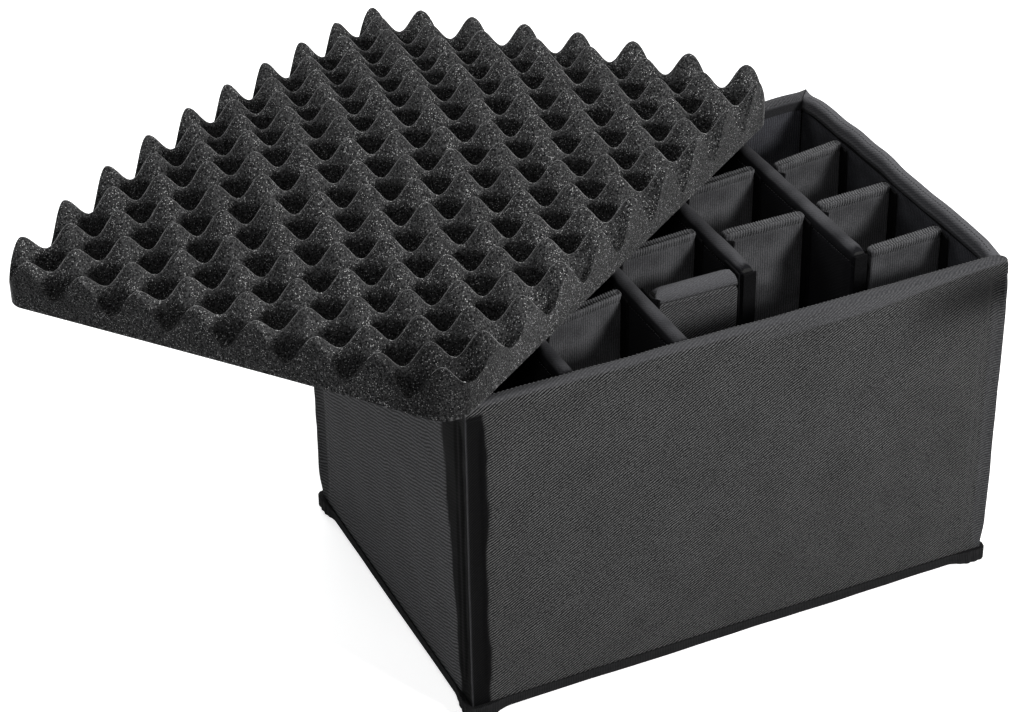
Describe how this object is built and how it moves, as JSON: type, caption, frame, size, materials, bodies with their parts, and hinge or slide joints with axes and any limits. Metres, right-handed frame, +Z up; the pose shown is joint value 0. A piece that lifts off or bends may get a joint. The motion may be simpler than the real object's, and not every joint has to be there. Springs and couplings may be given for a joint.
{
  "type": "padded divider insert",
  "caption": "Open padded box with movable hook-and-loop dividers and a convoluted foam pad laid across its rims.",
  "frame": {"origin": "centre of the box's underside, where it stands", "axes": "+Z up out of the box, +X along the front wall from left to right, -Y the front"},
  "size_m": [0.7767, 0.6862, 0.3766],
  "materials": {
    "twill": "charcoal twill cloth over padding",
    "board": "closed-cell foam board",
    "loop": "brushed loop cloth on foam",
    "binding": "black woven binding tape",
    "hook": "black hook tape",
    "foam": "open-cell convoluted foam, matt charcoal"
  },
  "bodies": {
    "box": {"front_cover": "twill", "front_board": "board", "front_lining": "loop", "right_cover": "twill", "right_board": "board", "right_lining": "loop", "back_cover": "twill", "back_board": "board", "back_lining": "loop", "left_cover": "twill", "left_board": "board", "left_lining": "loop", "base_cover": "twill", "base_board": "board", "floor_lining": "loop", "bottom_binding": "binding", "long_1_sleeve": "twill", "long_1_core": "board", "long_1_front_hook": "hook", "long_1_back_hook": "hook", "long_2_sleeve": "twill", "long_2_core": "board", "long_2_front_hook": "hook", "long_2_back_hook": "hook", "long_3_sleeve": "twill", "long_3_core": "board", "long_3_front_hook": "hook", "long_3_back_hook": "hook", "long_4_sleeve": "twill", "long_4_core": "board", "long_4_front_hook": "hook", "long_4_back_hook": "hook"},
    "cross_2_front": {"cross_2_front_panel": "loop", "cross_2_front_left_hook": "hook", "cross_2_front_right_hook": "hook"},
    "cross_3_front": {"cross_3_front_sleeve": "twill", "cross_3_front_core": "board", "cross_3_front_left_hook": "hook", "cross_3_front_right_hook": "hook"},
    "cross_3_mid": {"cross_3_mid_panel": "loop", "cross_3_mid_left_hook": "hook", "cross_3_mid_right_hook": "hook"},
    "cross_4_front": {"cross_4_front_panel": "loop", "cross_4_front_left_hook": "hook", "cross_4_front_right_hook": "hook"},
    "cross_4_back": {"cross_4_back_panel": "loop", "cross_4_back_left_hook": "hook", "cross_4_back_right_hook": "hook"},
    "cross_5_front": {"cross_5_front_panel": "loop", "cross_5_front_left_hook": "hook", "cross_5_front_right_hook": "hook"},
    "cross_5_mid": {"cross_5_mid_panel": "loop", "cross_5_mid_left_hook": "hook", "cross_5_mid_right_hook": "hook"},
    "cross_5_back": {"cross_5_back_panel": "loop", "cross_5_back_left_hook": "hook", "cross_5_back_right_hook": "hook"},
    "pad": {"foam_pad": "foam"}
  },
  "joints": [
    {"name": "pad_lift", "type": "slide", "parent": "box", "child": "pad", "axis": [0, 0, 1], "range_m": [0, 0.15]},
    {"name": "cross_3_front_lift", "type": "slide", "parent": "box", "child": "cross_3_front", "axis": [0, 0, 1], "range_m": [0, 0.32]},
    {"name": "cross_4_front_lift", "type": "slide", "parent": "box", "child": "cross_4_front", "axis": [0, 0, 1], "range_m": [0, 0.32]},
    {"name": "cross_5_front_lift", "type": "slide", "parent": "box", "child": "cross_5_front", "axis": [0, 0, 1], "range_m": [0, 0.32]},
    {"name": "cross_5_mid_lift", "type": "slide", "parent": "box", "child": "cross_5_mid", "axis": [0, 0, 1], "range_m": [0, 0.32]},
    {"name": "cross_5_back_lift", "type": "slide", "parent": "box", "child": "cross_5_back", "axis": [0, 0, 1], "range_m": [0, 0.32]},
    {"name": "cross_2_front_shift", "type": "slide", "parent": "box", "child": "cross_2_front", "axis": [0, 1, 0], "range_m": [-0.07, 0.19]},
    {"name": "cross_3_mid_shift", "type": "slide", "parent": "box", "child": "cross_3_mid", "axis": [0, 1, 0], "range_m": [-0.036, 0.13]},
    {"name": "cross_4_back_shift", "type": "slide", "parent": "box", "child": "cross_4_back", "axis": [0, 1, 0], "range_m": [-0.05, 0.06]}
  ]
}
